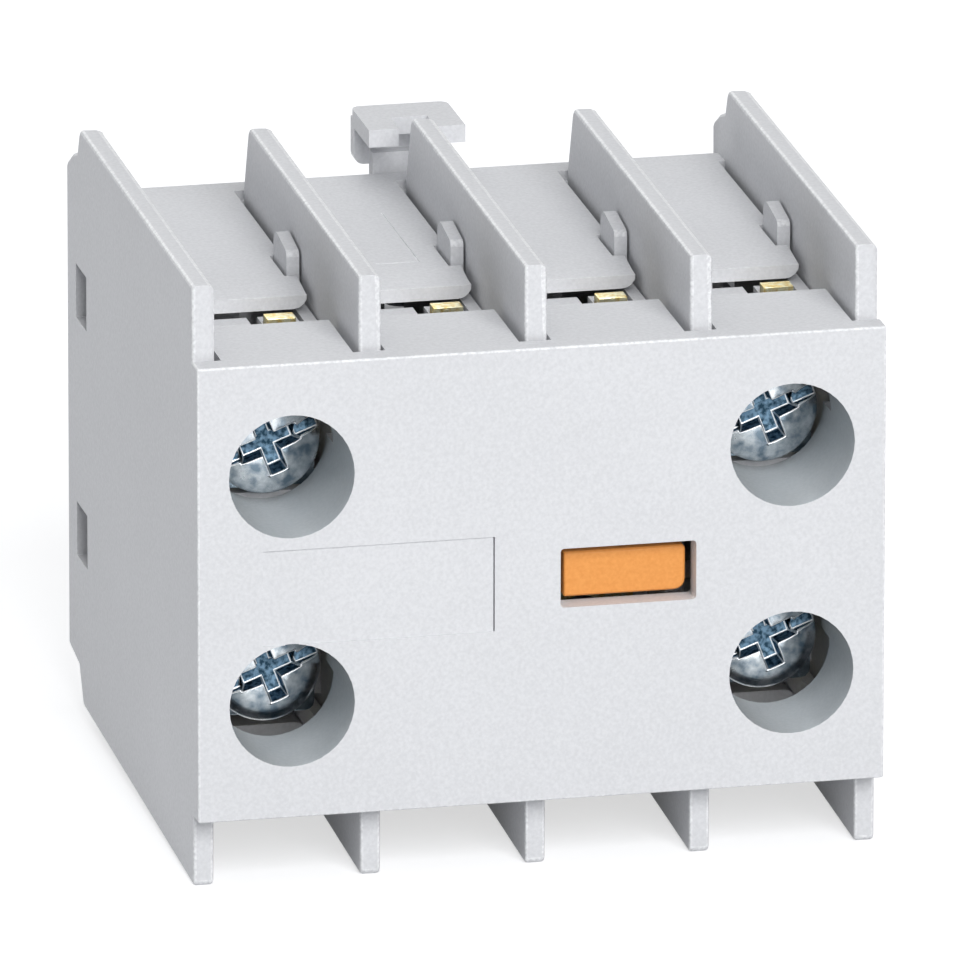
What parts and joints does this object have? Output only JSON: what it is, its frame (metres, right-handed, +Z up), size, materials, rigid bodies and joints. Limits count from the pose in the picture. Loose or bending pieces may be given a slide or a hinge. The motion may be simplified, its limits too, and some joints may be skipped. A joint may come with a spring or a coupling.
{
  "type": "auxiliary contact block",
  "caption": "Clip-on auxiliary contact block: finned grey housing, recessed screw terminals, bridging contacts, an orange position indicator and a sprung release latch.",
  "frame": {"origin": "centre of the footprint at the level of the lower fins' tips, on which the block can stand", "axes": "+X to the right seen from the front, +Y from the front face to the back that clips on the contactor, +Z up"},
  "size_m": [0.044, 0.0432, 0.0394],
  "materials": {
    "housing": "fine satin moulded grey plastic",
    "front_cover": "fine satin moulded grey plastic",
    "terminal_upper_left": "stamped brass strip with a silver contact facing",
    "terminal_upper_right": "stamped brass strip with a silver contact facing",
    "terminal_lower_left": "stamped brass strip with a silver contact facing",
    "terminal_lower_right": "stamped brass strip with a silver contact facing",
    "inner_terminal_upper_left": "stamped brass strip",
    "inner_terminal_upper_right": "stamped brass strip",
    "inner_terminal_lower_left": "stamped brass strip",
    "inner_terminal_lower_right": "stamped brass strip",
    "clamp_washer_upper_left": "blue-passivated zinc plating",
    "clamp_washer_upper_right": "blue-passivated zinc plating",
    "clamp_washer_lower_left": "blue-passivated zinc plating",
    "clamp_washer_lower_right": "blue-passivated zinc plating",
    "terminal_screw_upper_left": "blue-passivated zinc plating",
    "terminal_screw_upper_right": "blue-passivated zinc plating",
    "terminal_screw_lower_left": "blue-passivated zinc plating",
    "terminal_screw_lower_right": "blue-passivated zinc plating",
    "contact_carrier": "moulded charcoal plastic",
    "position_indicator": "satin moulded orange plastic",
    "bridge_contact_closed": "silver-plated copper alloy with silver contact buttons",
    "bridge_contact_open": "silver-plated copper alloy with silver contact buttons",
    "contact_spring_closed": "bright drawn spring wire",
    "contact_spring_open": "bright drawn spring wire",
    "return_spring": "bright drawn spring wire",
    "release_latch": "fine satin moulded grey plastic",
    "latch_spring": "bright drawn spring wire"
  },
  "bodies": {
    "housing": {"housing": "housing", "front_cover": "front_cover", "terminal_upper_left": "terminal_upper_left", "terminal_upper_right": "terminal_upper_right", "terminal_lower_left": "terminal_lower_left", "terminal_lower_right": "terminal_lower_right", "inner_terminal_upper_left": "inner_terminal_upper_left", "inner_terminal_upper_right": "inner_terminal_upper_right", "inner_terminal_lower_left": "inner_terminal_lower_left", "inner_terminal_lower_right": "inner_terminal_lower_right", "return_spring": "return_spring", "latch_spring": "latch_spring"},
    "clamp_upper_left": {"clamp_washer_upper_left": "clamp_washer_upper_left"},
    "clamp_upper_right": {"clamp_washer_upper_right": "clamp_washer_upper_right"},
    "clamp_lower_left": {"clamp_washer_lower_left": "clamp_washer_lower_left"},
    "clamp_lower_right": {"clamp_washer_lower_right": "clamp_washer_lower_right"},
    "screw_upper_left": {"terminal_screw_upper_left": "terminal_screw_upper_left"},
    "screw_upper_right": {"terminal_screw_upper_right": "terminal_screw_upper_right"},
    "screw_lower_left": {"terminal_screw_lower_left": "terminal_screw_lower_left"},
    "screw_lower_right": {"terminal_screw_lower_right": "terminal_screw_lower_right"},
    "carrier": {"contact_carrier": "contact_carrier", "position_indicator": "position_indicator", "contact_spring_closed": "contact_spring_closed", "contact_spring_open": "contact_spring_open"},
    "bridge_closed": {"bridge_contact_closed": "bridge_contact_closed"},
    "bridge_open": {"bridge_contact_open": "bridge_contact_open"},
    "latch": {"release_latch": "release_latch"}
  },
  "joints": [
    {"name": "clamp_upper_left_slide", "type": "slide", "parent": "housing", "child": "clamp_upper_left", "axis": [0, 1, 0], "range_m": [0, 0.0018]},
    {"name": "clamp_upper_right_slide", "type": "slide", "parent": "housing", "child": "clamp_upper_right", "axis": [0, 1, 0], "range_m": [0, 0.0018]},
    {"name": "clamp_lower_left_slide", "type": "slide", "parent": "housing", "child": "clamp_lower_left", "axis": [0, 1, 0], "range_m": [0, 0.0018]},
    {"name": "clamp_lower_right_slide", "type": "slide", "parent": "housing", "child": "clamp_lower_right", "axis": [0, 1, 0], "range_m": [0, 0.0018]},
    {"name": "screw_upper_left_turn", "type": "hinge", "parent": "clamp_upper_left", "child": "screw_upper_left", "pos_m": [-0.016, -0.01465, 0.02709], "axis": [0, 1, 0], "range_deg": [0, 1080]},
    {"name": "screw_upper_right_turn", "type": "hinge", "parent": "clamp_upper_right", "child": "screw_upper_right", "pos_m": [0.016, -0.01465, 0.02709], "axis": [0, 1, 0], "range_deg": [0, 1080]},
    {"name": "screw_lower_left_turn", "type": "hinge", "parent": "clamp_lower_left", "child": "screw_lower_left", "pos_m": [-0.016, -0.01465, 0.01216], "axis": [0, 1, 0], "range_deg": [0, 1080]},
    {"name": "screw_lower_right_turn", "type": "hinge", "parent": "clamp_lower_right", "child": "screw_lower_right", "pos_m": [0.016, -0.01465, 0.01216], "axis": [0, 1, 0], "range_deg": [0, 1080]},
    {"name": "carrier_slide", "type": "slide", "parent": "housing", "child": "carrier", "axis": [0, 1, 0], "range_m": [0, 0.0032], "stiffness_N_per_m": 150, "springref_m": -0.004, "deforming": ["return_spring"]},
    {"name": "bridge_closed_slide", "type": "slide", "parent": "carrier", "child": "bridge_closed", "axis": [0, 1, 0], "range_m": [0, 0.001], "stiffness_N_per_m": 300, "springref_m": -0.001, "deforming": ["contact_spring_closed"]},
    {"name": "bridge_open_slide", "type": "slide", "parent": "carrier", "child": "bridge_open", "axis": [0, -1, 0], "range_m": [0, 0.001], "stiffness_N_per_m": 300, "springref_m": -0.001, "deforming": ["contact_spring_open"]},
    {"name": "latch_slide", "type": "slide", "parent": "housing", "child": "latch", "axis": [0, 0, -1], "range_m": [0, 0.0015], "stiffness_N_per_m": 300, "springref_m": -0.001, "deforming": ["latch_spring"]}
  ],
  "couplings": [
    {"joint": "screw_upper_left_turn", "follows": "clamp_upper_left_slide", "rad_per_m": 10472},
    {"joint": "screw_upper_right_turn", "follows": "clamp_upper_right_slide", "rad_per_m": 10472},
    {"joint": "screw_lower_left_turn", "follows": "clamp_lower_left_slide", "rad_per_m": 10472},
    {"joint": "screw_lower_right_turn", "follows": "clamp_lower_right_slide", "rad_per_m": 10472}
  ]
}
